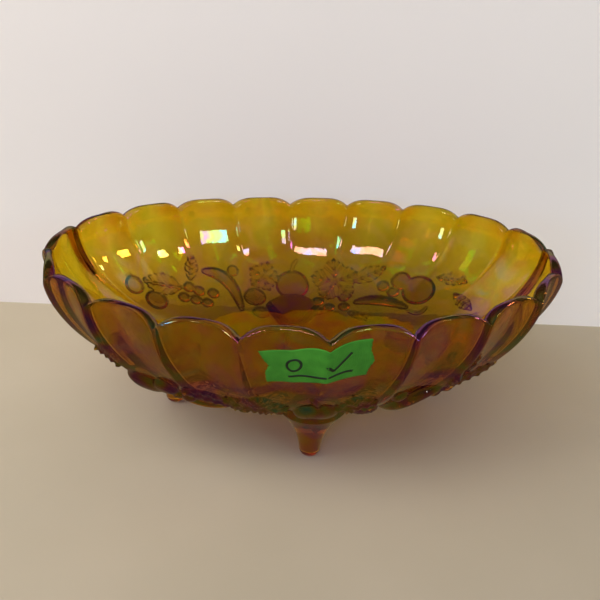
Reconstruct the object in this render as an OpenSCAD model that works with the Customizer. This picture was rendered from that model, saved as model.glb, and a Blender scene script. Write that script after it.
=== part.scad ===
/* [Bowl] */
// Length of the bowl over its end notches, along X
bowl_l = 304.8; // [280:0.1:330]
// Width of the bowl over its side notches, along Y
bowl_w = 216; // [195:1:235]
// Height of the rim's notches above the table, halfway between ends and sides
notch_h = 100; // [90:1:110]
// Height of the glass underside above the table
base_h = 27.8; // [24:0.1:30]
// Thickness of the wall at the rim's notches
wall = 6.3; // [5:0.1:8]
// Thickness of the floor
floor_t = 6; // [5:0.1:8]

/* [Scalloped rim] */
// Number of scallops round the rim
scallops = 20; // [12:2:28]
// Height of a scallop's crest above its notches
crest_rise = 6.3; // [0:0.1:9]
// How much higher the rim runs at the two ends than on average
end_rise = 1.8; // [0:0.1:4]
// Depth of the hollow flute outside each scallop
flute_out = 4.4; // [0:0.1:6]
// How far each panel swells into the bowl between its grooves
flute_in = 2.2; // [0:0.1:5]
// Height of the rim's rounded top edge
rim_round = 2; // [0.5:0.1:3]

/* [Feet] */
// Distance of the front and rear feet from the centre
foot_y = 59; // [50:1:65]
// Distance of the left and right feet from the centre
foot_x = 80; // [70:1:88]
// Radius of a foot at its toe
foot_toe_r = 6.2; // [4:0.1:8]
// Radius of a foot where it flares into the underside
foot_top_r = 15; // [9:0.1:16]
// Radius of the flat spot that a foot stands on
foot_flat_r = 3; // [1:0.1:4]

/* [Fruit garland] */
// Radius of a grape
grape_r = 4; // [3:0.1:5]
// Radius of a cherry
cherry_r = 4.4; // [3:0.1:5]
// Radius of the apple's outline
apple_r = 12; // [9:0.5:13]
// Radius of the pear's outline
pear_r = 12; // [9:0.5:13]
// Width of a banana at its middle
banana_w = 9; // [6:0.5:10]
// How far a large fruit stands out of the wall
fruit_rise = 4; // [2:0.1:5]
// How far a leaf stands out of the wall
leaf_rise = 1.2; // [0.6:0.1:2]

/* [Tape] */
// Width of the strip of masking tape
tape_w = 21.6; // [18:0.1:26]
// Thickness of the tape's solid
tape_t = 0.4; // [0.2:0.1:1]

/* [Hidden] */

$fn = 48;
amber = "darkgoldenrod";

// The plan is a superellipse with this exponent; 2 would be a plain ellipse
plan_power = 2.073;
// Degrees by which the notches crowd towards the two ends, which keeps the scallops equal
crowding = 4.4;
// Powers of the wall's profile: how its height and its reach grow, and how much rounder the floor
// is than the rim
height_power = 1.266;
reach_power = 0.65;
floor_round = 0.787;
// The wall's profile runs through an angle from 0 at the centre to 90 at the rim
profile_step = 9;
flutes_start = 30;
flutes_full = 66;
// Stations across one scallop, from -1 at its left notch up to, but not including, 1 at its right
stations = [-1, -0.86, -0.55, 0, 0.55, 0.86];
rim_steps = 6;
// Power that squares off a scallop's crest
crest_power = 3.4;
// Powers of the outer flutes and of the inner panels: higher is flatter, with a sharper groove at the notches
flute_out_power = 1.6;
flute_in_power = 4;
// The flare of a foot ends on a sphere that follows the middle of the floor's thickness: how far the
// sphere's middle lies inwards of the foot, then its height above the underside and its radius for the
// side feet, and the same for the end feet
cup_inset = 20;
side_cup_rise = 64.2;
side_cup_r = 60;
end_cup_rise = 82;
end_cup_r = 75;
// Power of the curve by which a foot flares
flare_power = 2.2;
// How deep the garland's pieces reach into the wall
embed = 2.5;
// Radius of the bulging faces of the leaves, close to that of the wall
leaf_bulge_r = 75;

function signed_pow(v, e) = sign(v) * pow(abs(v), e);
function smooth(v) = let(c = min(1, max(0, v))) c * c * (3 - 2 * c);

// Rim: turn runs from 0 to scallops, with a notch at every whole number and 0 at the left end
function turn_angle(turn) = let(t = 180 + turn * 360 / scallops) t + crowding * sin(2 * t);
function across(turn) = 2 * (turn - floor(turn)) - 1;
function rim_top(turn) =
    notch_h + end_rise * cos(720 * turn / scallops)
    + crest_rise * (1 - pow(abs(across(turn)), crest_power));

// One point of the wall, inside or outside, by its turn and its profile angle
function wall_point(turn, angle, thick, thick_floor, flute, flute_power) =
    let(
        a = bowl_l / 2 - thick,
        b = bowl_w / 2 - thick,
        base = base_h + thick_floor,
        t = turn_angle(turn),
        reach = pow(sin(angle), reach_power),
        hollow = flute * (1 - pow(abs(across(turn)), flute_power))
            * smooth((angle - flutes_start) / (flutes_full - flutes_start)),
        n = [b * cos(t), a * sin(t)] / norm([b * cos(t), a * sin(t)]),
        lift = (rim_top(turn) - rim_round - notch_h) * pow(angle / 90, 6)
    )
    [
        a * reach * signed_pow(cos(t), 2 / plan_power) - hollow * n.x,
        b * pow(reach, floor_round) * signed_pow(sin(t), 2 / plan_power) - hollow * n.y,
        notch_h - (notch_h - base) * pow(cos(angle), height_power) + lift
    ];
function outer_point(turn, angle) = wall_point(turn, angle, 0, 0, flute_out, flute_out_power);
function inner_point(turn, angle) = wall_point(turn, angle, wall, floor_t, flute_in, flute_in_power);
function rim_point(turn, step) =
    let(
        half = 180 * step / rim_steps,
        p = outer_point(turn, 90),
        q = inner_point(turn, 90),
        share = (1 - cos(half)) / 2
    )
    p + (q - p) * share + [0, 0, rim_round * pow(sin(half), 0.7)];

// Where a place given by x and z lies on the outside of the smooth wall, on the rear side
function angle_at(z) = acos(pow(max(0, notch_h - z) / (notch_h - base_h), 1 / height_power));
function reach_at(z) = pow(sin(angle_at(z)), reach_power);
function wall_y(x, z) =
    bowl_w / 2 * pow(reach_at(z), floor_round)
    * pow(1 - pow(abs(x) / (bowl_l / 2 * reach_at(z)), plan_power), 1 / plan_power);
function place(x, z) = [x, wall_y(x, z), z];
function outward(x, z) =
    let(n = cross(place(x, z + 0.1) - place(x, z - 0.1), place(x + 0.1, z) - place(x - 0.1, z)))
    n / norm(n);

// A closed skin over rings of points, with one pole point at each end
module skin(rings, pole_a, pole_b) {
    count = len(rings[0]);
    last = len(rings) - 1;
    points = [pole_a, for (ring = rings) each ring, pole_b];
    faces = [
        for (i = [0:count - 1]) [0, 1 + i, 1 + (i + 1) % count],
        for (r = [0:last - 1]) for (i = [0:count - 1])
            let(a = 1 + r * count + i, b = 1 + r * count + (i + 1) % count)
            each [[a, a + count, b + count], [a, b + count, b]],
        for (i = [0:count - 1])
            [len(points) - 1, 1 + last * count + (i + 1) % count, 1 + last * count + i]
    ];
    polyhedron(points, faces, convexity = 8);
}

module bowl() {
    turns = [for (k = [0:scallops - 1]) for (s = stations) k + (s + 1) / 2];
    angles = [profile_step / 2, for (angle = [profile_step:profile_step:90]) angle];
    rings = [
        for (angle = angles) [for (turn = turns) outer_point(turn, angle)],
        for (step = [1:rim_steps - 1]) [for (turn = turns) rim_point(turn, step)],
        for (i = [len(angles) - 1:-1:0]) [for (turn = turns) inner_point(turn, angles[i])]
    ];
    color(amber) skin(rings, [0, 0, base_h], [0, 0, base_h + floor_t]);
}

// A tapered foot with a rounded toe and a small flat underneath. Its flared top ends inside the glass
module foot(x, y, cup_rise, cup_r) {
    toe_z = foot_toe_r - foot_flat_r;
    flare_z = base_h + 4;
    inwards = 1 - cup_inset / norm([x, y]);
    color(amber) difference() {
        translate([x, y, 0]) rotate_extrude()
            polygon([
                [0, 0],
                [foot_flat_r, 0],
                for (a = [15:15:90]) [foot_flat_r + toe_z * sin(a), toe_z * (1 - cos(a))],
                for (q = [0.2:0.2:1]) [
                    foot_toe_r + (foot_top_r - foot_toe_r) * pow(q, flare_power),
                    toe_z + (flare_z - toe_z) * q
                ],
                [foot_top_r, 2 * base_h],
                [0, 2 * base_h]
            ]);
        translate([x * inwards, y * inwards, base_h + cup_rise]) sphere(cup_r);
    }
}

// Puts its children on the wall, with Z outward; side 1 is the rear wall, -1 the front wall
module on_wall(x, z, side, spin = 0) {
    p = place(x, z);
    n = outward(x, z);
    rotate([0, 0, side > 0 ? 0 : 180]) translate(p)
        rotate([0, acos(n.z), atan2(n.y, n.x)]) rotate([0, 0, spin]) children();
}

// A low dome of a given outline radius and rise, with its rim sunk into the wall
module dome(r, rise) {
    big_r = (r * r + rise * rise) / (2 * rise);
    intersection() {
        translate([0, 0, rise - big_r]) sphere(big_r);
        translate([0, 0, -embed]) cylinder(r = r + embed, h = embed + rise + 1);
    }
}

// A tapered tube that follows the wall along a curve from a to c, pulled towards b; ends is its end scale
module wall_tube(a, b, c, r, ends, sink, side) {
    sides = 12;
    steps = 8;
    function along(q) = (1 - q) * (1 - q) * a + 2 * q * (1 - q) * b + q * q * c;
    function middle(q) = let(p = along(q)) place(p.x, p.y) - sink * outward(p.x, p.y);
    function ring(q) =
        let(
            p = along(q),
            up = outward(p.x, p.y),
            aside = cross(middle(q + 0.01) - middle(q - 0.01), up),
            radius = r * (ends + (1 - ends) * pow(sin(180 * q), 0.7))
        )
        [
            for (i = [0:sides - 1])
                let(turned = 360 * i / sides)
                middle(q) + radius * (cos(turned) * up + sin(turned) * aside / norm(aside))
        ];
    first = middle(0) - middle(0.02);
    final = middle(1) - middle(0.98);
    rotate([0, 0, side > 0 ? 0 : 180])
        skin(
            [for (i = [0:steps]) ring(i / steps)],
            middle(0) + 0.8 * r * ends * first / norm(first),
            middle(1) + 0.8 * r * ends * final / norm(final)
        );
}

// Gives a leaf outline a thickness that bulges like the wall
module leaf_plate() {
    intersection() {
        translate([0, 0, -2 * embed]) linear_extrude(4 * embed) children();
        difference() {
            translate([0, 0, leaf_rise - leaf_bulge_r]) sphere(leaf_bulge_r);
            translate([0, 0, leaf_rise - leaf_bulge_r]) sphere(leaf_bulge_r - leaf_rise - embed);
        }
    }
}

// Five-lobed outline with its tip along +X
module grape_leaf_outline(r) {
    polygon([
        for (a = [0:8:352])
            r * (0.58 + 0.42 * pow(abs(cos(2.5 * a)), 1.3)) * [cos(a), sin(a)]
    ]);
}

// Pointed oval outline with toothed edges, its tip along +X
module oval_leaf_outline(l, w) {
    teeth = 6;
    polygon([
        for (edge = [1, -1]) for (i = [0:2 * teeth - 1])
            let(q = edge > 0 ? i / (2 * teeth) : 1 - i / (2 * teeth))
            [l * (q - 0.5), edge * w / 2 * (sin(180 * q) + (i % 2) * 0.12)]
    ]);
}

// The garland, one kind of piece at a time; places are [x, z] on the rear wall
module plums(side) {
    color(amber) {
        on_wall(-110, 57.5, side) dome(6.5, fruit_rise - 0.8);
        on_wall(-95, 47, side) dome(7.5, fruit_rise - 0.4);
    }
}

module grapes(side) {
    left_bunch = [[-74, 48], [-67, 45], [-57, 42.5], [-77, 44], [-69, 41.5], [-61, 39]];
    middle_bunch = [[19, 35.5], [26, 33.5], [18, 32], [38, 38.5], [37, 34.5]];
    color(amber)
        for (p = concat(left_bunch, middle_bunch))
            on_wall(p.x, p.y, side) translate([0, 0, -1.4]) sphere(grape_r);
}

module bananas(side) {
    color(amber) {
        wall_tube([-64, 55], [-45, 52], [-37, 34], banana_w / 2, 0.4, 0.7, side);
        wall_tube([46, 37], [62, 41], [79, 40], banana_w / 2, 0.4, 0.7, side);
    }
}

module strawberries(side) {
    color(amber) {
        on_wall(-27, 38, side) dome(8, fruit_rise - 0.6);
        on_wall(-23, 32, side) dome(5.5, fruit_rise - 1);
        on_wall(-43, 53, side) dome(4, 2.2);
    }
}

module apple(side) {
    color(amber) on_wall(1, 43, side) dome(apple_r, fruit_rise);
}

// The pear's neck leans towards the middle of the bowl
module pear(side) {
    color(amber) {
        on_wall(90, 49, side) dome(pear_r, fruit_rise);
        on_wall(80, 51.5, side) dome(0.6 * pear_r, 0.8 * fruit_rise);
    }
}

module cherries(side) {
    color(amber)
        for (p = [[67, 47], [77, 51], [73, 45]])
            on_wall(p.x, p.y, side) translate([0, 0, -1.6]) sphere(cherry_r);
}

module grape_leaves(side) {
    color(amber) {
        on_wall(33, 46, side, 170) leaf_plate() grape_leaf_outline(17);
        on_wall(-20, 48, side, 190) leaf_plate() grape_leaf_outline(12);
    }
}

module oval_leaves(side) {
    color(amber) {
        on_wall(-92, 53, side, 120) leaf_plate() oval_leaf_outline(28, 19);
        on_wall(-72, 58, side, 200) leaf_plate() oval_leaf_outline(16, 8);
        on_wall(57, 52.5, side, 235) leaf_plate() oval_leaf_outline(20, 9);
        on_wall(112, 60, side, 265) leaf_plate() oval_leaf_outline(18, 8);
        on_wall(118, 55, side, 275) leaf_plate() oval_leaf_outline(22, 9);
        on_wall(45, 32.5, side, 100) leaf_plate() oval_leaf_outline(16, 8);
    }
}

module stems(side) {
    color(amber) {
        wall_tube([1, 50], [1, 54], [5, 58], 1.4, 0.9, 0.3, side);
        wall_tube([80, 39], [86, 38.5], [92, 43], 1.4, 0.9, 0.3, side);
    }
}

// Masking tape on the front wall, folded over the ridge below a notch
module lot_tape() {
    // Turns at the strip's ends and fold, and the height of its middle there
    left_turn = 4.22;
    fold_turn = 5;
    right_turn = 5.56;
    left_z = 82.3;
    fold_z = 86;
    right_z = 86.4;
    // Columns on each side of the fold, and places across the strip
    columns = 10;
    rows = [-0.5, -0.17, 0.17, 0.5];
    grip = 0.15;
    turns = [
        for (i = [0:columns - 1]) left_turn + (fold_turn - left_turn) * i / columns,
        for (i = [0:columns]) fold_turn + (right_turn - fold_turn) * i / columns
    ];
    function mid_z(turn) = lookup(turn, [[left_turn, left_z], [fold_turn, fold_z], [right_turn, right_z]]);
    function raised(turn, z, lift) =
        let(p = outer_point(turn, angle_at(z)), t = turn_angle(turn))
        [p.x + lift * cos(t), p.y + lift * sin(t), z];
    rings = [
        for (turn = turns) [
            for (r = rows) raised(turn, mid_z(turn) + r * tape_w, -grip),
            for (i = [3:-1:0]) raised(turn, mid_z(turn) + rows[i] * tape_w, tape_t - grip)
        ]
    ];
    middle = tape_t / 2 - grip;
    color("limegreen")
        skin(rings, raised(left_turn, left_z, middle), raised(right_turn, right_z, middle));
}

bowl();
foot(0, -foot_y, side_cup_rise, side_cup_r);  // foot_front
foot(0, foot_y, side_cup_rise, side_cup_r);  // foot_rear
foot(-foot_x, 0, end_cup_rise, end_cup_r);  // foot_left
foot(foot_x, 0, end_cup_rise, end_cup_r);  // foot_right
plums(1);  // plums_rear
grapes(1);  // grapes_rear
bananas(1);  // bananas_rear
strawberries(1);  // strawberries_rear
apple(1);  // apple_rear
pear(1);  // pear_rear
cherries(1);  // cherries_rear
grape_leaves(1);  // grape_leaves_rear
oval_leaves(1);  // oval_leaves_rear
stems(1);  // stems_rear
plums(-1);  // plums_front
grapes(-1);  // grapes_front
bananas(-1);  // bananas_front
strawberries(-1);  // strawberries_front
apple(-1);  // apple_front
pear(-1);  // pear_front
cherries(-1);  // cherries_front
grape_leaves(-1);  // grape_leaves_front
oval_leaves(-1);  // oval_leaves_front
stems(-1);  // stems_front
lot_tape();
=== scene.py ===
"""The looks of an oval footed fruit bowl in amber carnival glass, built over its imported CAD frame."""

import math

import bpy
import numpy as np
from mathutils import Matrix, Vector


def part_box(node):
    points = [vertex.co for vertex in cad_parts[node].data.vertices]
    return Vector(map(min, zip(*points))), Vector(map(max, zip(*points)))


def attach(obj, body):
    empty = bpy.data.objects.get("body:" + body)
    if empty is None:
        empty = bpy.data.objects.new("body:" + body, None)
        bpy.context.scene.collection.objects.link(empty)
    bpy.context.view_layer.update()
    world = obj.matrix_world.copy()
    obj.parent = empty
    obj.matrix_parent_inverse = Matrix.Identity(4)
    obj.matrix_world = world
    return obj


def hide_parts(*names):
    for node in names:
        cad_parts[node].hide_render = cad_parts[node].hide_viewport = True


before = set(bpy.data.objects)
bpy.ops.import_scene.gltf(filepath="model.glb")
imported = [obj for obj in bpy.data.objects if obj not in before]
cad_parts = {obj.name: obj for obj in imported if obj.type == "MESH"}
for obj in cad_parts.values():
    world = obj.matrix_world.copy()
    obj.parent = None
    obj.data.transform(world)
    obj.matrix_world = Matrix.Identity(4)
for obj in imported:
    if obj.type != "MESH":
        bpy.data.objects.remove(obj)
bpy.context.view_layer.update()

# ---------------------------------------------------------------- sizes, in millimetres
MM = 0.001
bowl_low, bowl_high = (Vector(corner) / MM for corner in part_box("bowl"))
foot_low, foot_high = (Vector(corner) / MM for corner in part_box("foot_front"))
side_low, side_high = (Vector(corner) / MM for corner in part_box("foot_left"))

SCALLOPS = 20
CREST_RISE = 6.3
CREST_POWER = 3.4
END_RISE = 1.8
HALF_LENGTH = (bowl_high.x - bowl_low.x) / 2
HALF_WIDTH = (bowl_high.y - bowl_low.y) / 2
NOTCH_Z = bowl_high.z - CREST_RISE - END_RISE * math.cos(math.tau / SCALLOPS)
BASE_Z = bowl_low.z
WALL = 6.3
FLOOR = 6.0
FLUTE_OUT = 4.4
FLUTE_IN = 2.2
FLUTE_OUT_POWER = 1.6
FLUTE_IN_POWER = 4
RIM_ROUND = 2.4
FOOT_Y = (foot_low.y + foot_high.y) / -2
FOOT_X = (side_low.x + side_high.x) / -2

# The shape of the wall: a superellipse in plan, and powers that give its height and reach in profile
PLAN_POWER = 2.073
CROWDING = math.radians(4.4)
HEIGHT_POWER = 1.266
REACH_POWER = 0.65
FLOOR_ROUND = 0.787
FLUTES_START = math.radians(30)
FLUTES_FULL = math.radians(66)
RIM_ANGLE = math.pi / 2

FRUIT_RISE = 4.6
LEAF_RISE = 1.4

# How finely the glass is divided: columns per scallop, and rows in each stretch of its skin
COARSE_COLUMNS = 20
FLOOR_ROWS = 9
BAND_ROWS = 80
FLUTE_ROWS = 17
RIM_ROWS = 9
INNER_ROWS = 34
BAND_START = math.radians(12.5)
BAND_END = math.radians(55)


# ---------------------------------------------------------------- the wall as a formula
def signed_power(v, e):
    return np.sign(v) * np.abs(v) ** e


def smooth(v):
    c = np.clip(v, 0, 1)
    return c * c * (3 - 2 * c)


def turn_angle(turn):
    """The plan angle of a turn round the rim: notches are whole turns, and turn 0 is the left end."""
    t = math.pi + turn * math.tau / SCALLOPS
    return t + CROWDING * np.sin(2 * t)


def across(turn):
    """-1 at a scallop's left notch, 0 at its crest and 1 at its right notch."""
    return 2 * (turn - np.floor(turn)) - 1


def rim_top(turn):
    ends = END_RISE * np.cos(2 * turn * math.tau / SCALLOPS)
    return NOTCH_Z + ends + CREST_RISE * (1 - np.abs(across(turn)) ** CREST_POWER)


def wall_point(turn, angle, inside):
    """A point of the wall. angle runs from 0 at the middle of the floor to RIM_ANGLE at the rim."""
    turn, angle = np.broadcast_arrays(turn, angle)
    a = HALF_LENGTH - (WALL if inside else 0)
    b = HALF_WIDTH - (WALL if inside else 0)
    base = BASE_Z + (FLOOR if inside else 0)
    t = turn_angle(turn)
    reach = np.sin(angle) ** REACH_POWER
    if inside:
        hollow = FLUTE_IN * (1 - np.abs(across(turn)) ** FLUTE_IN_POWER)
    else:
        hollow = FLUTE_OUT * (1 - np.abs(across(turn)) ** FLUTE_OUT_POWER)
    hollow = hollow * smooth((angle - FLUTES_START) / (FLUTES_FULL - FLUTES_START))
    nx, ny = b * np.cos(t), a * np.sin(t)
    size = np.hypot(nx, ny)
    lift = (rim_top(turn) - RIM_ROUND - NOTCH_Z) * (angle / RIM_ANGLE) ** 6
    fall = np.clip(np.cos(angle), 0, 1) ** HEIGHT_POWER
    return np.stack(
        [
            a * reach * signed_power(np.cos(t), 2 / PLAN_POWER) - hollow * nx / size,
            b * reach**FLOOR_ROUND * signed_power(np.sin(t), 2 / PLAN_POWER) - hollow * ny / size,
            NOTCH_Z - (NOTCH_Z - base) * fall + lift,
        ],
        -1,
    )


def wall_normal(turn, angle, inside):
    """The unit normal, outward from the bowl's axis and downward under the floor."""
    step = 1e-4
    along = wall_point(turn + step, angle, inside) - wall_point(turn - step, angle, inside)
    up = wall_point(turn, angle + step, inside) - wall_point(turn, angle - step, inside)
    n = np.cross(along, up)
    return n / np.linalg.norm(n, axis=-1, keepdims=True)


def angle_at(z):
    """The profile's angle at which the outside of the wall reaches a height."""
    return np.arccos(np.clip((NOTCH_Z - z) / (NOTCH_Z - BASE_Z), 0, 1) ** (1 / HEIGHT_POWER))


def place(x, z):
    """Where x and z lie on the smooth outside of the rear wall."""
    reach = np.sin(angle_at(z)) ** REACH_POWER
    share = (1 - (abs(x) / (HALF_LENGTH * reach)) ** PLAN_POWER) ** (1 / PLAN_POWER)
    return np.array([x, HALF_WIDTH * reach**FLOOR_ROUND * share, z])


def outward(x, z):
    """The unit normal of the rear wall there, which points out of the bowl."""
    n = np.cross(place(x, z + 0.1) - place(x, z - 0.1), place(x + 0.1, z) - place(x - 0.1, z))
    return n / np.linalg.norm(n)


# ---------------------------------------------------------------- the moulded fruit garland
def chart(points, x, z, heading):
    """Flat coordinates about a place on the wall: u along heading, which is clockwise from up as seen
    from inside the bowl, v to its right, and whether each point is near enough to count."""
    centre, n = place(x, z), outward(x, z)
    right = np.array([n[1], -n[0], 0]) / math.hypot(n[0], n[1])
    up = np.cross(right, n)
    offset = points - centre
    x_flat, y_flat = offset @ right, offset @ up
    h = math.radians(heading)
    u = x_flat * math.sin(h) + y_flat * math.cos(h)
    v = x_flat * math.cos(h) - y_flat * math.sin(h)
    return u, v, np.abs(offset @ n) < 12


def fruit(points, x, z, r, rise, sharp=1.4):
    """A round fruit, whose sides are steeper where sharp is higher."""
    u, v, near = chart(points, x, z, 0)
    inside = np.clip(1 - ((u**2 + v**2) / r**2) ** sharp, 0, 1)
    return rise * inside**0.5 * near


def bumpy_berry(points, x, z, r, rise):
    """A strawberry: a round fruit with a lattice of seeds."""
    u, v, _ = chart(points, x, z, 0)
    seed_pitch = 3.0
    seeds = np.abs(np.cos(math.pi * (u + v) / seed_pitch) * np.cos(math.pi * (u - v) / seed_pitch))
    return fruit(points, x, z, r, rise) * (0.8 + 0.35 * seeds)


def oval_leaf(points, x, z, length, width, heading):
    """A pointed leaf with toothed edges, a raised midrib and slanting side veins."""
    u, v, near = chart(points, x, z, heading)
    s = np.clip(u / length + 0.5, 0, 1)
    tooth = np.abs((u / length * 9) % 1 - 0.5)
    half = width / 2 * np.sin(math.pi * s) ** 0.8 * (0.86 + 0.28 * tooth)
    plate = smooth((half - np.abs(v)) / 0.9)
    veins = 0.5 + 0.5 * np.cos(math.tau * (u - 0.8 * np.abs(v)) / (length / 5))
    rib = np.exp(-((v / 0.9) ** 2))
    return near * plate * (LEAF_RISE * (0.5 + 0.7 * veins**2) + 1.2 * rib)


def grape_leaf(points, x, z, r, heading):
    """A broad leaf with five shallow toothed lobes, a rib along each lobe and side veins off the ribs."""
    u, v, near = chart(points, x, z, heading)
    d, a = np.hypot(u, v), np.arctan2(v, u)
    tooth = np.abs((a / math.tau * 30) % 1 - 0.5)
    edge = r * (0.76 + 0.24 * np.abs(np.cos(2.5 * a)) ** 0.8) * (0.92 + 0.2 * tooth)
    plate = smooth((edge - d) / 0.9)
    turned = (a + math.pi / 5) % (math.tau / 5) - math.pi / 5
    rib = np.exp(-((d * np.sin(turned) / 0.9) ** 2))
    slant = d * np.cos(turned) - d * np.abs(np.sin(turned))
    veins = 0.5 + 0.5 * np.cos(math.tau * slant / 5.4)
    return near * plate * (LEAF_RISE * (0.5 + 0.7 * veins**2) + 1.2 * rib)


def tube(points, path, r, rise, ends):
    """A tapered ridge along a curve from path[0] to path[2], pulled towards path[1]."""
    height = np.zeros(len(points))
    a, b, c = (np.array(p, float) for p in path)
    for q in np.linspace(0, 1, 28):
        x, z = (1 - q) ** 2 * a + 2 * q * (1 - q) * b + q**2 * c
        width = r * (ends + (1 - ends) * math.sin(math.pi * q) ** 0.7)
        height = np.maximum(height, fruit(points, x, z, width, rise * width / r, sharp=1.0))
    return height


LEFT_BUNCH = [(-74, 48), (-67, 45), (-57, 42.5), (-77, 44), (-69, 41.5), (-61, 39)]
MIDDLE_BUNCH = [(19, 35.5), (26, 33.5), (18, 32), (38, 38.5), (37, 34.5)]
CHERRIES = [(67, 47), (77, 51), (73, 45)]


def garland(points):
    """How far the moulding stands out of the rear wall at these points."""
    pieces = [
        fruit(points, -110, 57.5, 6.8, 3.4),
        fruit(points, -95, 47, 7.8, 3.8),
        oval_leaf(points, -92, 53, 30, 19, 300),
        oval_leaf(points, -73, 58, 20, 11, 20),
        tube(points, [(-64, 55), (-45, 52), (-37, 34)], 4.7, FRUIT_RISE, 0.4),
        fruit(points, -43, 53, 4.2, 2.2),
        grape_leaf(points, -20, 48, 12, 20),
        bumpy_berry(points, -27, 38, 8, 3.4),
        bumpy_berry(points, -23, 32, 6, 2.8),
        fruit(points, 1, 43, 12, FRUIT_RISE),
        tube(points, [(1, 50), (1, 54), (5, 58)], 1.5, 1.2, 0.8),
        grape_leaf(points, 33, 46, 18, 350),
        oval_leaf(points, 58, 52, 28, 13, 55),
        fruit(points, 90, 49, 12, FRUIT_RISE),
        fruit(points, 80, 51.5, 7, 3.6),
        tube(points, [(46, 37), (62, 41), (79, 40)], 4.3, FRUIT_RISE, 0.4),
        tube(points, [(80, 39), (86, 38.5), (92, 43)], 1.4, 1.1, 0.8),
        oval_leaf(points, 112, 60, 24, 10, 80),
        oval_leaf(points, 114, 52, 24, 10, 100),
        oval_leaf(points, 45, 32.5, 18, 8, 280),
    ]
    pieces += [fruit(points, x, z, 4.1, 3.2, sharp=1.0) for x, z in LEFT_BUNCH + MIDDLE_BUNCH]
    pieces += [fruit(points, x, z, 4.4, 3.4, sharp=1.0) for x, z in CHERRIES]
    return np.max(pieces, axis=0)


def moulded(turn, angle):
    """The outside of the wall with the garland, and how much painted shade the coat gets at each of its
    points: most where the relief is steep, standing in for the dark edges that refraction gives there, and a
    little where it stands high. The front's garland is the rear's turned half round."""
    points = wall_point(turn, angle, False)
    flat = points.reshape(-1, 3)
    rear = flat[:, 1] > 0
    mirrored = np.where(rear[:, None], flat, flat * [-1, -1, 1])
    height = garland(mirrored).reshape(points.shape[:-1])
    steps = [np.linalg.norm(np.gradient(points, axis=axis), axis=-1) for axis in (0, 1)]
    slope = np.hypot(*(np.gradient(height, axis=axis) / steps[axis] for axis in (0, 1)))
    # Painted shade: dark on the steep flanks of the relief and fainter on its high parts
    shade = np.maximum(smooth((slope - 0.25) / 0.9), 0.3 * smooth((height - 1.5) / 2))
    return points + wall_normal(turn, angle, False) * height[..., None], shade


# ---------------------------------------------------------------- the glass as one closed mesh
def spread_turns(columns):
    """Turns all round the rim, with columns to a scallop that lie closer near the notches."""
    gather = 0.12
    s = np.linspace(-1, 1, columns, endpoint=False)
    s = (1 + gather) * s - gather * s**3
    return (np.arange(SCALLOPS)[:, None] + (s + 1) / 2).ravel()


def glass_rows():
    """Rings of points from the middle of the underside, over the rim, to the middle of the floor, and
    the painted shade that the relief's steepness gives each point."""
    coarse = spread_turns(COARSE_COLUMNS)
    fine = spread_turns(2 * COARSE_COLUMNS)
    below = [
        wall_point(coarse, angle, False)
        for angle in np.linspace(0, BAND_START, FLOOR_ROWS, endpoint=False)[1:]
    ]
    band, painted_relief_shade = moulded(fine[None, :], np.linspace(BAND_START, BAND_END, BAND_ROWS)[:, None])
    above = [
        wall_point(coarse, angle, False)
        for angle in np.linspace(BAND_END, RIM_ANGLE, FLUTE_ROWS + 1)[1:]
    ]
    outer = wall_point(coarse, RIM_ANGLE, False)
    inner = wall_point(coarse, RIM_ANGLE, True)
    for half_turn in np.linspace(0, math.pi, RIM_ROWS + 2)[1:-1]:
        ring = outer + (inner - outer) * (1 - math.cos(half_turn)) / 2
        above.append(ring + [0, 0, RIM_ROUND * math.sin(half_turn) ** 0.6])
    for angle in np.linspace(RIM_ANGLE, 0, INNER_ROWS, endpoint=False):
        above.append(wall_point(coarse, angle, True))
    flat_below, flat_above = ([np.zeros(len(row)) for row in rows] for rows in (below, above))
    return below + list(band) + above, flat_below + list(painted_relief_shade) + flat_above


def join_rings(first_a, count_a, first_b, count_b):
    """Faces between two rings, where one may have twice the points of the other."""
    faces = []
    if count_a == count_b:
        for i in range(count_a):
            j = (i + 1) % count_a
            faces.append((first_a + i, first_a + j, first_b + j, first_b + i))
        return faces
    flipped = count_a > count_b
    few, few_at, many_at = (count_b, first_b, first_a) if flipped else (count_a, first_a, first_b)
    for i in range(few):
        j = (i + 1) % few
        near, mid, far = many_at + 2 * i, many_at + 2 * i + 1, many_at + 2 * j
        made = [
            (few_at + i, mid, near),
            (few_at + i, few_at + j, mid),
            (few_at + j, far, mid),
        ]
        faces += [face[::-1] for face in made] if flipped else made
    return faces


def closed_skin(rows, first_pole, last_pole):
    """Points and faces of a closed skin over rings of points, with a pole at each end."""
    starts = np.cumsum([1] + [len(row) for row in rows])
    faces = []
    ring = len(rows[0])
    for i in range(ring):
        faces.append((0, 1 + (i + 1) % ring, 1 + i))
    for k in range(len(rows) - 1):
        faces += join_rings(int(starts[k]), len(rows[k]), int(starts[k + 1]), len(rows[k + 1]))
    ring, start, tip = len(rows[-1]), int(starts[-2]), int(starts[-1])
    for i in range(ring):
        faces.append((start + i, start + (i + 1) % ring, tip))
    return np.vstack([first_pole, *rows, last_pole]), faces


def make_object(name, points, faces):
    """A smooth-shaded object from points in millimetres."""
    mesh = bpy.data.meshes.new(name)
    mesh.from_pydata([tuple(p) for p in points * MM], [], faces)
    mesh.update()
    obj = bpy.data.objects.new(name, mesh)
    bpy.context.scene.collection.objects.link(obj)
    shade = [True] * len(mesh.polygons)
    mesh.polygons.foreach_set("use_smooth", shade)
    return obj


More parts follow.
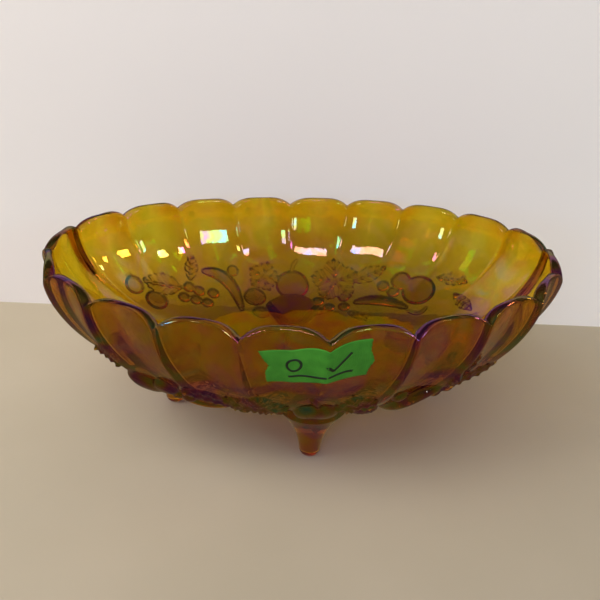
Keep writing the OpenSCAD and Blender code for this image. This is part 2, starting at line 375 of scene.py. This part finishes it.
def floor_height(x, y):
    """Height of the smooth outside of the bowl above a place in plan, found by halving."""
    low, high = np.zeros_like(x), np.full_like(x, RIM_ANGLE)
    for _ in range(40):
        mid = (low + high) / 2
        reach = np.maximum(np.sin(mid) ** REACH_POWER, 1e-6)
        size = (np.abs(x) / (HALF_LENGTH * reach)) ** PLAN_POWER
        size += (np.abs(y) / (HALF_WIDTH * reach**FLOOR_ROUND)) ** PLAN_POWER
        low, high = np.where(size > 1, mid, low), np.where(size > 1, high, mid)
    return NOTCH_Z - (NOTCH_Z - BASE_Z) * np.cos(low) ** HEIGHT_POWER


# Heights above the table and a foot's radius there, from its toe to where it flares into the underside
TOE_PROFILE = [(0, 2.6), (0.3, 4.0), (1.3, 5.3), (3.2, 6.1)]
FLARE_PROFILE = [(7, 6.5), (12, 7.5), (18, 9.6), (23, 12.2), (28, 15.5), (34, 20)]


def foot(name, x, y):
    """A tapered foot whose flared top is sunk into the glass above it."""
    sides = 64
    around = np.linspace(0, math.tau, sides, endpoint=False)
    heights, radii = zip(*TOE_PROFILE, *FLARE_PROFILE)
    flare = np.linspace(FLARE_PROFILE[0][0], FLARE_PROFILE[-1][0], 22)
    levels = np.concatenate([heights[: len(TOE_PROFILE)], flare])
    rows = []
    for z in levels:
        r = np.interp(z, heights, radii)
        ring = np.stack([x + r * np.cos(around), y + r * np.sin(around)], -1)
        cover = floor_height(ring[:, 0], ring[:, 1]) + FLOOR / 2
        rows.append(np.column_stack([ring, np.minimum(z, cover)]))
    top = floor_height(np.array([float(x)]), np.array([float(y)]))[0] + FLOOR / 2
    last = rows[-1]
    for share in (0.66, 0.33):
        ring = np.stack([x + (last[:, 0] - x) * share, y + (last[:, 1] - y) * share], -1)
        rows.append(np.column_stack([ring, floor_height(ring[:, 0], ring[:, 1]) + FLOOR / 2]))
    points, faces = closed_skin(rows, [x, y, 0], [x, y, top])
    return make_object(name, points, faces)


def unite(target, tool):
    """Fuses tool into target and removes it."""
    modifier = target.modifiers.new("unite", "BOOLEAN")
    modifier.operation = "UNION"
    modifier.solver = "MANIFOLD"
    modifier.object = tool
    bpy.context.view_layer.update()
    done = bpy.data.meshes.new_from_object(target.evaluated_get(bpy.context.evaluated_depsgraph_get()))
    target.modifiers.remove(modifier)
    target.data = done
    bpy.data.objects.remove(tool)


def glass_bowl():
    """The whole pressing: the bowl's skin with its four feet fused on."""
    floor_top = BASE_Z + FLOOR
    rows, painted_relief_shade = glass_rows()
    points, faces = closed_skin(rows, [0, 0, BASE_Z], [0, 0, floor_top])
    bowl = make_object("glass_bowl", points, faces)
    # Painted shade for the relief's steep edges, kept on the points for the glass material
    painted_shade_attribute = bowl.data.attributes.new("relief_painted_shade", "FLOAT", "POINT")
    painted_shade_attribute.data.foreach_set("value", np.concatenate([[0], *painted_relief_shade, [0]]).astype(np.float32))
    for k, (x, y) in enumerate([(0, -FOOT_Y), (0, FOOT_Y), (-FOOT_X, 0), (FOOT_X, 0)]):
        unite(bowl, foot(f"foot_{k}", x, y))
    count = len(bowl.data.polygons)
    bowl.data.polygons.foreach_set("use_smooth", [True] * count)
    bowl.data.polygons.foreach_set("material_index", [0] * count)
    bowl.data.materials.clear()
    return bowl


# ---------------------------------------------------------------- the strip of masking tape
# Turns at stations along the strip, which folds over at a notch, and the heights of its edges there
TAPE_TURNS = [4.22, 4.6, 5, 5.56]
TAPE_LOW = [72.3, 71.4, 74.4, 75.7]
TAPE_HIGH = [91.6, 91.6, 97.4, 96.8]
TAPE_WIDTH = 21.6
MM_PER_TURN = 40.7
TAPE_SKIN = 0.3

# How far each torn end lies inside its corner, in millimetres, at shares of the width from the lower edge
TORN_LEFT = [(0, 2.2), (0.36, 2.3), (0.55, 3.9), (0.71, 1.9), (1, 0)]
TORN_RIGHT = [(0, 2.4), (0.22, 1.6), (0.41, 0), (0.73, 3.2), (1, 2.7)]


def tape_point(turn, share, lift):
    """A place on the strip at a turn of the rim and a share of its width, lifted off the glass."""
    low, high = np.interp(turn, TAPE_TURNS, TAPE_LOW), np.interp(turn, TAPE_TURNS, TAPE_HIGH)
    angle = angle_at(low + share * (high - low))
    return wall_point(turn, angle, False) + lift * wall_normal(turn, angle, False)


def slab(name, front, back):
    """A thin closed solid between two matching grids of points."""
    columns, rows = front.shape[:2]

    def corner(side, i, j):
        return (side * columns + i) * rows + j

    faces = []
    for i in range(columns - 1):
        for j in range(rows - 1):
            around = [(i, j), (i + 1, j), (i + 1, j + 1), (i, j + 1)]
            faces.append([corner(0, *at) for at in around])
            faces.append([corner(1, *at) for at in reversed(around)])
    edge = [(i, 0) for i in range(columns - 1)]
    edge += [(columns - 1, j) for j in range(rows - 1)]
    edge += [(i, rows - 1) for i in range(columns - 1, 0, -1)]
    edge += [(0, j) for j in range(rows - 1, 0, -1)]
    for at, after in zip(edge, edge[1:] + edge[:1]):
        faces.append([corner(0, *after), corner(0, *at), corner(1, *at), corner(1, *after)])
    return make_object(name, np.vstack([front.reshape(-1, 3), back.reshape(-1, 3)]), faces)


def tape():
    """The strip, with torn ends and a crease where it folds over the ridge under a notch."""
    clearance = 0.05
    share = np.linspace(0, 1, 25)
    fray = 0.35 * np.sin(share * 61) + 0.25 * np.sin(share * 143)
    fold = TAPE_TURNS[2]
    left = TAPE_TURNS[0] + (np.interp(share, *zip(*TORN_LEFT)) + fray) / MM_PER_TURN
    right = TAPE_TURNS[-1] - (np.interp(share, *zip(*TORN_RIGHT)) - fray) / MM_PER_TURN
    run = np.linspace(0, 1, 16)[:, None]
    turns = np.vstack([left + (fold - left) * run, fold + (right - fold) * run[1:]])
    front = tape_point(turns, share[None, :], TAPE_SKIN)
    return slab("tape", front, tape_point(turns, share[None, :], clearance))


def pen_marks():
    """Three pen strokes that mean nothing: a ring, a tick and a line under them. Each place is a turn and a
    share of the strip's width."""
    ring_middle, ring_size = (4.62, 0.56), (0.085, 0.17)
    tick_ends, tick_turns, tick_shares = [0, 0.3, 1], [4.99, 5.06, 5.25], [0.52, 0.36, 0.74]
    line_start, line_run, line_waver = (4.55, 0.2), 0.75, 0.03
    half_pen, proud, sunk = 0.65, 0.06, 0.1
    t = np.linspace(0, 1, 33)
    ring = ring_middle + np.stack([np.cos(math.tau * t), np.sin(math.tau * t)], -1) * ring_size
    tick = np.stack([np.interp(t, tick_ends, tick_turns), np.interp(t, tick_ends, tick_shares)], -1)
    line = line_start + np.stack([line_run * t, line_waver * np.sin(9 * t)], -1)
    strokes = []
    for path in (ring, tick, line):
        flat = path * [MM_PER_TURN, TAPE_WIDTH]
        along = np.gradient(flat, axis=0)
        aside = np.stack([-along[:, 1], along[:, 0]], -1) / np.linalg.norm(along, axis=1, keepdims=True)
        pen = half_pen * aside / [MM_PER_TURN, TAPE_WIDTH]
        sides = np.stack([path - pen, path, path + pen], 1)
        front = tape_point(sides[..., 0], sides[..., 1], TAPE_SKIN + proud)
        back = tape_point(sides[..., 0], sides[..., 1], TAPE_SKIN - sunk)
        strokes.append(slab("tape_marks", front, back))
    return join_objects(strokes)


def join_objects(objects):
    with bpy.context.temp_override(active_object=objects[0], selected_editable_objects=objects):
        bpy.ops.object.join()
    return objects[0]


# ---------------------------------------------------------------- materials
def new_material(name):
    material = bpy.data.materials.new(name)
    material.use_nodes = True
    nodes = material.node_tree.nodes
    return material, nodes, material.node_tree.links, nodes["Principled BSDF"]


def noise(nodes, links, source, scale, detail=2.0, distortion=0.0):
    texture = nodes.new("ShaderNodeTexNoise")
    texture.inputs["Scale"].default_value = scale
    texture.inputs["Detail"].default_value = detail
    texture.inputs["Distortion"].default_value = distortion
    links.new(source, texture.inputs["Vector"])
    return texture.outputs["Fac"]


def mapped(nodes, links, source, low, high):
    """Maps the middle of a noise onto low to high."""
    node = nodes.new("ShaderNodeMapRange")
    node.inputs["From Min"].default_value = 0.3
    node.inputs["From Max"].default_value = 0.7
    node.inputs["To Min"].default_value = low
    node.inputs["To Max"].default_value = high
    links.new(source, node.inputs["Value"])
    return node.outputs["Result"]


def ramp(nodes, links, source, stops):
    """A colour ramp over source, from (place, colour) stops."""
    node = nodes.new("ShaderNodeValToRGB")
    elements = node.color_ramp.elements
    while len(elements) < len(stops):
        elements.new(0.5)
    for element, (position, color) in zip(elements, stops):
        element.position = position
        element.color = (*color, 1)
    links.new(source, node.inputs["Fac"])
    return node.outputs["Color"]


def blend(nodes, kind="MIX"):
    """A colour mix, as a table of its sockets: Factor_Float, A_Color, B_Color and Result_Color."""
    mix = nodes.new("ShaderNodeMix")
    mix.data_type = "RGBA"
    mix.blend_type = kind
    return {socket.identifier: socket for socket in (*mix.inputs, *mix.outputs)}


def carnival_glass():
    """Amber glass whose metallic salt film shifts its colour over the surface."""
    material, nodes, links, shader = new_material("carnival_glass")
    where = nodes.new("ShaderNodeTexCoord").outputs["Object"]
    # Painted shade in the coat: darker towards the floor of the bowl, lighter again at the foot and rim, and
    # darkest on the steep edges of the moulding
    split = nodes.new("ShaderNodeSeparateXYZ")
    links.new(where, split.inputs["Vector"])
    rise = nodes.new("ShaderNodeMapRange")
    rise.inputs["From Max"].default_value = 0.1
    links.new(split.outputs["Z"], rise.inputs["Value"])
    # Painted shade: the coat is darkest at the height of the bowl's floor and lighter above and below it
    foot_coat, painted_floor_shade, rim_coat = (1, 0.85, 0.25), (0.42, 0.35, 0.11), (0.97, 0.92, 0.54)
    painted_shade_by_height = [(0.15, foot_coat), (0.33, painted_floor_shade), (0.55, (0.70, 0.58, 0.27)), (0.85, rim_coat)]
    coat_with_painted_shade = ramp(nodes, links, rise.outputs["Result"], painted_shade_by_height)
    # Painted shade: the steep edges of the moulding are darkened to near black brown, standing in for the
    # dark that refraction gives there
    edge = nodes.new("ShaderNodeAttribute")
    edge.attribute_name = "relief_painted_shade"
    stained = blend(nodes, "MULTIPLY")
    stained["Factor_Float"].default_value = 1
    stains = [(0.38, (0.84, 0.92, 0.60)), (0.5, (1, 0.96, 0.75)), (0.62, (0.95, 0.76, 0.80))]
    links.new(coat_with_painted_shade, stained["A_Color"])
    links.new(ramp(nodes, links, noise(nodes, links, where, 24, 3.0, 1.0), stains), stained["B_Color"])
    painted_edge_shade = blend(nodes)
    links.new(edge.outputs["Fac"], painted_edge_shade["Factor_Float"])
    links.new(stained["Result_Color"], painted_edge_shade["A_Color"])
    painted_edge_shade["B_Color"].default_value = (0.06, 0.03, 0.008, 1)
    links.new(painted_edge_shade["Result_Color"], shader.inputs["Base Color"])
    shader.inputs["Roughness"].default_value = 0.02
    shader.inputs["IOR"].default_value = 1.42
    shader.inputs["Transmission Weight"].default_value = 1.0
    # Film thicknesses in nanometres, whose colours run from blue-green through gold to magenta. It is
    # thicker where it is seen at a slant, which keeps the rim from turning blue or green
    film_thin, film_thick, film_slant = 188, 280, 95
    patches = mapped(nodes, links, noise(nodes, links, where, 42, 4.0, 1.0), film_thin, film_thick)
    slant = nodes.new("ShaderNodeLayerWeight")
    slant.inputs["Blend"].default_value = 0.5
    film = nodes.new("ShaderNodeMath")
    film.operation = "MULTIPLY_ADD"
    film.inputs[1].default_value = film_slant
    links.new(slant.outputs["Facing"], film.inputs[0])
    links.new(patches, film.inputs[2])
    links.new(film.outputs["Value"], shader.inputs["Thin Film Thickness"])
    shader.inputs["Thin Film IOR"].default_value = 1.9
    bump = nodes.new("ShaderNodeBump")
    bump.inputs["Strength"].default_value = 0.1
    bump.inputs["Distance"].default_value = 0.001
    links.new(noise(nodes, links, where, 90, 3.0), bump.inputs["Height"])
    links.new(bump.outputs["Normal"], shader.inputs["Normal"])
    volume = nodes.new("ShaderNodeVolumeAbsorption")
    volume.inputs["Color"].default_value = (0.938, 0.85, 0.10, 1)
    volume.inputs["Density"].default_value = 720
    links.new(volume.outputs["Volume"], nodes["Material Output"].inputs["Volume"])
    return material


def tape_paper():
    """Green creped paper: fine ripples across the strip and a slightly uneven dye."""
    material, nodes, links, shader = new_material("green_tape")
    where = nodes.new("ShaderNodeTexCoord").outputs["Object"]
    dye = [(0.3, (0.040, 0.28, 0.014)), (0.7, (0.062, 0.36, 0.022))]
    links.new(ramp(nodes, links, noise(nodes, links, where, 160, 3.0), dye), shader.inputs["Base Color"])
    shader.inputs["Roughness"].default_value = 0.7
    stretch = nodes.new("ShaderNodeMapping")
    stretch.inputs["Scale"].default_value = (9, 9, 1)
    links.new(where, stretch.inputs["Vector"])
    bump = nodes.new("ShaderNodeBump")
    bump.inputs["Strength"].default_value = 0.35
    bump.inputs["Distance"].default_value = 0.0004
    links.new(noise(nodes, links, stretch.outputs["Vector"], 180, 2.0), bump.inputs["Height"])
    links.new(bump.outputs["Normal"], shader.inputs["Normal"])
    return material


def pen_ink():
    material, nodes, links, shader = new_material("pen_ink")
    where = nodes.new("ShaderNodeTexCoord").outputs["Object"]
    ink = [(0.3, (0.006, 0.02, 0.008)), (0.7, (0.014, 0.04, 0.016))]
    links.new(ramp(nodes, links, noise(nodes, links, where, 300), ink), shader.inputs["Base Color"])
    shader.inputs["Roughness"].default_value = 0.5
    return material


def floor_paint():
    material, nodes, links, shader = new_material("pale_floor")
    where = nodes.new("ShaderNodeTexCoord").outputs["Object"]
    paint = [(0.3, (0.50, 0.44, 0.31)), (0.7, (0.56, 0.49, 0.355))]
    links.new(ramp(nodes, links, noise(nodes, links, where, 6, 4.0), paint), shader.inputs["Base Color"])
    shader.inputs["Roughness"].default_value = 0.6
    return material


# ---------------------------------------------------------------- stage, camera and light
def wall_paint():
    """Pale wall paint on the front of the backdrop only, so that the bowl can be seen from behind it too."""
    material, nodes, links, shader = new_material("pale_wall")
    where = nodes.new("ShaderNodeTexCoord").outputs["Object"]
    paint = [(0.3, (0.76, 0.73, 0.66)), (0.7, (0.80, 0.77, 0.70))]
    links.new(ramp(nodes, links, noise(nodes, links, where, 3, 3.0), paint), shader.inputs["Base Color"])
    shader.inputs["Roughness"].default_value = 0.8
    # Painted light: a faint glow, stronger towards the wall's right, stands for the lamps further along the
    # room
    split = nodes.new("ShaderNodeSeparateXYZ")
    links.new(where, split.inputs["Vector"])
    painted_lamp_glow = nodes.new("ShaderNodeMapRange")
    painted_lamp_glow.inputs["From Min"].default_value = -0.4
    painted_lamp_glow.inputs["From Max"].default_value = 0.4
    painted_lamp_glow.inputs["To Min"].default_value = 0.12
    painted_lamp_glow.inputs["To Max"].default_value = 0.34
    links.new(split.outputs["X"], painted_lamp_glow.inputs["Value"])
    links.new(painted_lamp_glow.outputs["Result"], shader.inputs["Emission Strength"])
    shader.inputs["Emission Color"].default_value = (0.80, 0.77, 0.71, 1)
    mix = nodes.new("ShaderNodeMixShader")
    links.new(nodes.new("ShaderNodeNewGeometry").outputs["Backfacing"], mix.inputs[0])
    links.new(shader.outputs["BSDF"], mix.inputs[1])
    links.new(nodes.new("ShaderNodeBsdfTransparent").outputs["BSDF"], mix.inputs[2])
    links.new(mix.outputs["Shader"], nodes["Material Output"].inputs["Surface"])
    return material


def add_stage():
    """A plain table top against a plain wall, which runs a little askew just behind the bowl."""
    left, right, front, rear, top = -1.6, 1.6, -1.6, 0.122, 0.42
    skew = -0.114
    rear_left, rear_right = rear + skew * left, rear + skew * right
    table = [(left, front, 0), (right, front, 0), (right, rear_right, 0), (left, rear_left, 0)]
    wall = [(left, rear_left, 0), (right, rear_right, 0), (right, rear_right, top), (left, rear_left, top)]
    for name, corners, paint in (("table", table, floor_paint()), ("wall", wall, wall_paint())):
        mesh = bpy.data.meshes.new(name)
        mesh.from_pydata(corners, [], [(0, 1, 2, 3)])
        obj = bpy.data.objects.new(name, mesh)
        bpy.context.scene.collection.objects.link(obj)
        obj.data.materials.append(paint)
        obj.visible_glossy = False


def add_panel_light(name, direction, distance, width, height, radiance, color):
    """A rectangular light that faces the bowl from a direction, with a given brightness of its face."""
    middle = Vector((0, 0, 0.07))
    light = bpy.data.lights.new(name, "AREA")
    light.shape = "RECTANGLE"
    light.size = width
    light.size_y = height
    light.energy = radiance * math.pi * width * height
    light.color = color
    obj = bpy.data.objects.new(name, light)
    obj.location = middle + Vector(direction).normalized() * distance
    obj.rotation_euler = (middle - obj.location).to_track_quat("-Z", "Y").to_euler()
    bpy.context.scene.collection.objects.link(obj)
    return obj


def room_light():
    """A pale studio, which reflections see as a dim room with a lighter ceiling and a pale band behind."""
    world = bpy.data.worlds.new("studio")
    world.use_nodes = True
    nodes, links = world.node_tree.nodes, world.node_tree.links
    split = nodes.new("ShaderNodeSeparateXYZ")
    links.new(nodes.new("ShaderNodeTexCoord").outputs["Generated"], split.inputs["Vector"])
    # What reflections see by height: table, dim room and ceiling in front; table, pale wall and dusk behind
    table, dim, pale = (0.20, 0.15, 0.07), (0.09, 0.085, 0.075), (0.55, 0.52, 0.46)
    front = [(0.02, table), (0.15, dim), (0.9, (0.20, 0.19, 0.17))]
    behind = [(0.02, table), (0.15, dim), (0.36, pale), (0.56, pale), (0.68, dim)]
    side = nodes.new("ShaderNodeMapRange")
    side.inputs["From Min"].default_value = 0.0
    side.inputs["From Max"].default_value = 0.25
    links.new(split.outputs["Y"], side.inputs["Value"])
    room = blend(nodes)
    links.new(side.outputs["Result"], room["Factor_Float"])
    links.new(ramp(nodes, links, split.outputs["Z"], front), room["A_Color"])
    links.new(ramp(nodes, links, split.outputs["Z"], behind), room["B_Color"])
    mixed = blend(nodes)
    links.new(nodes.new("ShaderNodeLightPath").outputs["Is Reflection Ray"], mixed["Factor_Float"])
    mixed["A_Color"].default_value = (0.62, 0.58, 0.51, 1)
    links.new(room["Result_Color"], mixed["B_Color"])
    links.new(mixed["Result_Color"], nodes["Background"].inputs["Color"])
    nodes["Background"].inputs["Strength"].default_value = 1.0
    bpy.context.scene.world = world


def light_scene():
    """The studio, two large soft lights, and five small lamps for the glints in the iridescent coat."""
    room_light()
    white = (1, 0.97, 0.93)
    cyan = (0.35, 0.85, 1)
    blue = (0.4, 0.6, 1)
    violet = (0.6, 0.35, 1)
    orange = (1, 0.6, 0.2)
    key = add_panel_light("key", (-0.8, -0.15, 0.62), 0.95, 0.5, 0.5, 5, white)
    fill = add_panel_light("fill", (-0.4, -0.5, 1.0), 1.3, 1.1, 0.8, 2.2, white)
    # These two light the room, and only the small lamps are mirrored in the glass
    for lamp in (key, fill):
        lamp.visible_glossy = False
    add_panel_light("strip", (-0.17, -0.82, 0.54), 1.6, 0.62, 0.17, 10, violet)
    add_panel_light("window_right", (0.51, -0.78, 0.36), 1.6, 0.30, 0.24, 8, cyan)
    add_panel_light("window_left", (-0.50, -0.84, 0.20), 1.6, 0.24, 0.30, 9, blue)
    add_panel_light("lamp_right", (0.79, -0.36, 0.50), 1.6, 0.26, 0.11, 11, white)
    add_panel_light("lamp_far_right", (0.92, 0.0, 0.39), 1.6, 0.20, 0.13, 16, orange)


def add_camera():
    """The camera looks down at the bowl from a little left of its middle, with a slight tilt."""
    camera = bpy.data.cameras.new("camera")
    camera.sensor_width = 36
    camera.lens = 41.17
    obj = bpy.data.objects.new("camera", camera)
    position = Vector((-0.0478, -0.3798, 0.2499))
    target = Vector((-0.00125, 0.0085, 0.066))
    tilt = math.radians(2.54)
    turn = (target - position).to_track_quat("-Z", "Y").to_matrix().to_4x4()
    obj.matrix_world = Matrix.Translation(position) @ turn @ Matrix.Rotation(tilt, 4, "Z")
    bpy.context.scene.collection.objects.link(obj)
    bpy.context.scene.camera = obj


bpy.context.scene.view_settings.view_transform = "Standard"
add_camera()
add_stage()
light_scene()

bowl = glass_bowl()
bowl.data.materials.append(carnival_glass())
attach(bowl, "root")
glass_nodes = [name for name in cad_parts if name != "lot_tape"]
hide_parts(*glass_nodes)

strip = tape()
strip.data.materials.append(tape_paper())
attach(strip, "root")
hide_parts("lot_tape")

marks = pen_marks()
marks.data.materials.append(pen_ink())
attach(marks, "root")
